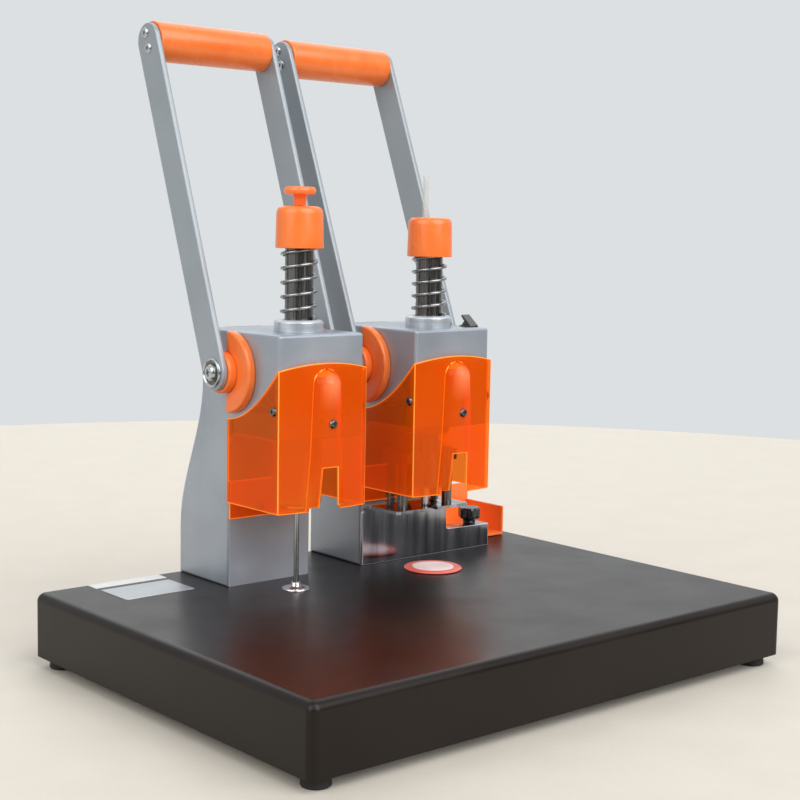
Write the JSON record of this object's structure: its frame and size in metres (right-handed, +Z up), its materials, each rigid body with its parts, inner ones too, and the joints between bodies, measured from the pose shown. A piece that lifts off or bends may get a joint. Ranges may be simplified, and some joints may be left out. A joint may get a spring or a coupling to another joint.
{
  "type": "binding machine",
  "caption": "Manual binding machine: a riveting head and a hollow-punch head, each with a rack-and-pinion hand lever, on a flat steel base with clear guards.",
  "frame": {"origin": "on the table, under the middle of the whole machine with its levers up", "axes": "+X right along the front edge, +Y away from the user, +Z up"},
  "size_m": [0.418, 0.3454, 0.4454],
  "materials": {
    "base_black": "semi-gloss powder coat",
    "floor_steel": "plain sheet",
    "foot_rubber": "matt",
    "silver_paint": "fine metallic paint",
    "arm_steel": "satin",
    "orange_plastic": "satin",
    "gauge_orange": "gloss",
    "guard_orange": "clear tinted gloss",
    "dark_steel": "blackened",
    "spring_steel": "bright",
    "mirror_steel": "polished",
    "black_plastic": "gloss",
    "pad_white": "satin",
    "pad_red": "satin",
    "clear_tube": "clear",
    "bright_steel": "bright"
  },
  "bodies": {
    "frame": {"base_shell": "base_black", "base_floor": "floor_steel", "feet": "foot_rubber", "foot_screws": "bright_steel", "column_bolts": "bright_steel", "left_casting": "silver_paint", "right_casting": "silver_paint", "left_cover": "silver_paint", "right_cover": "silver_paint", "cover_screws": "bright_steel", "left_bush": "silver_paint", "right_bush": "silver_paint", "left_guide": "silver_paint", "right_guide": "silver_paint", "lower_die": "bright_steel", "fence": "mirror_steel", "left_guard": "guard_orange", "right_guard": "guard_orange", "guard_screws": "dark_steel", "tube_blade": "dark_steel", "left_shields": "orange_plastic", "right_shields": "orange_plastic", "left_spring": "spring_steel", "right_spring": "spring_steel"},
    "left_plunger_line": {"left_plunger": "dark_steel", "left_cap": "orange_plastic", "rivet_punch": "bright_steel"},
    "needle_line": {"needle": "bright_steel", "needle_knob": "orange_plastic"},
    "right_plunger_line": {"right_plunger": "dark_steel", "right_cap": "orange_plastic", "punch_holder": "dark_steel", "punch": "bright_steel", "chip_tube": "clear_tube", "press_spring_left": "spring_steel", "press_spring_right": "spring_steel"},
    "press": {"press_plate": "mirror_steel", "press_pins": "dark_steel"},
    "left_lever": {"left_shaft": "bright_steel", "left_pinion": "dark_steel", "left_hubs": "orange_plastic", "left_outer_arm": "arm_steel", "left_inner_arm": "arm_steel", "left_grip": "orange_plastic", "left_grip_screws": "bright_steel", "left_pivot_screws": "bright_steel"},
    "right_lever": {"right_shaft": "bright_steel", "right_pinion": "dark_steel", "right_hubs": "orange_plastic", "right_inner_arm": "arm_steel", "right_outer_arm": "arm_steel", "right_grip": "orange_plastic", "right_grip_screws": "bright_steel", "right_pivot_screws": "bright_steel"},
    "thumb": {"thumbscrew": "black_plastic"},
    "gauge": {"side_gauge": "gauge_orange"},
    "pad": {"pad_disc": "pad_white", "pad_rim": "pad_red"}
  },
  "joints": [
    {"name": "left_lever_hinge", "type": "hinge", "parent": "frame", "child": "left_lever", "pos_m": [-0.0595, 0.06927, 0.2035], "axis": [1, 0, 0], "range_deg": [0, 120]},
    {"name": "left_plunger_slide", "type": "slide", "parent": "frame", "child": "left_plunger_line", "axis": [0, 0, -1], "range_m": [0, 0.044], "stiffness_N_per_m": 2700, "springref_m": -0.01, "deforming": ["left_spring"]},
    {"name": "needle_slide", "type": "slide", "parent": "frame", "child": "needle_line", "axis": [0, 0, 1], "range_m": [0, 0.062]},
    {"name": "right_lever_hinge", "type": "hinge", "parent": "frame", "child": "right_lever", "pos_m": [0.0595, 0.06927, 0.2035], "axis": [1, 0, 0], "range_deg": [0, 109]},
    {"name": "right_plunger_slide", "type": "slide", "parent": "frame", "child": "right_plunger_line", "axis": [0, 0, -1], "range_m": [0, 0.04], "stiffness_N_per_m": 2700, "springref_m": -0.01, "deforming": ["right_spring"]},
    {"name": "press_slide", "type": "slide", "parent": "right_plunger_line", "child": "press", "axis": [0, 0, 1], "range_m": [0, 0.014], "stiffness_N_per_m": 6400, "springref_m": -0.003, "deforming": ["press_spring_left", "press_spring_right"]},
    {"name": "thumbscrew_turn", "type": "hinge", "parent": "frame", "child": "thumb", "pos_m": [0.142, 0.07977, 0.07], "axis": [0, 0, 1], "range_deg": [-180, 180]},
    {"name": "gauge_slide", "type": "slide", "parent": "frame", "child": "gauge", "axis": [1, 0, 0], "range_m": [-0.008, 0.03]},
    {"name": "pad_turn", "type": "hinge", "parent": "frame", "child": "pad", "pos_m": [0.0611, 0.03257, 0.052], "axis": [0, 0, 1], "continuous": true}
  ],
  "couplings": [
    {"joint": "left_plunger_slide", "follows": "left_lever_hinge", "m_per_rad": 0.021},
    {"joint": "right_plunger_slide", "follows": "right_lever_hinge", "m_per_rad": 0.021}
  ]
}
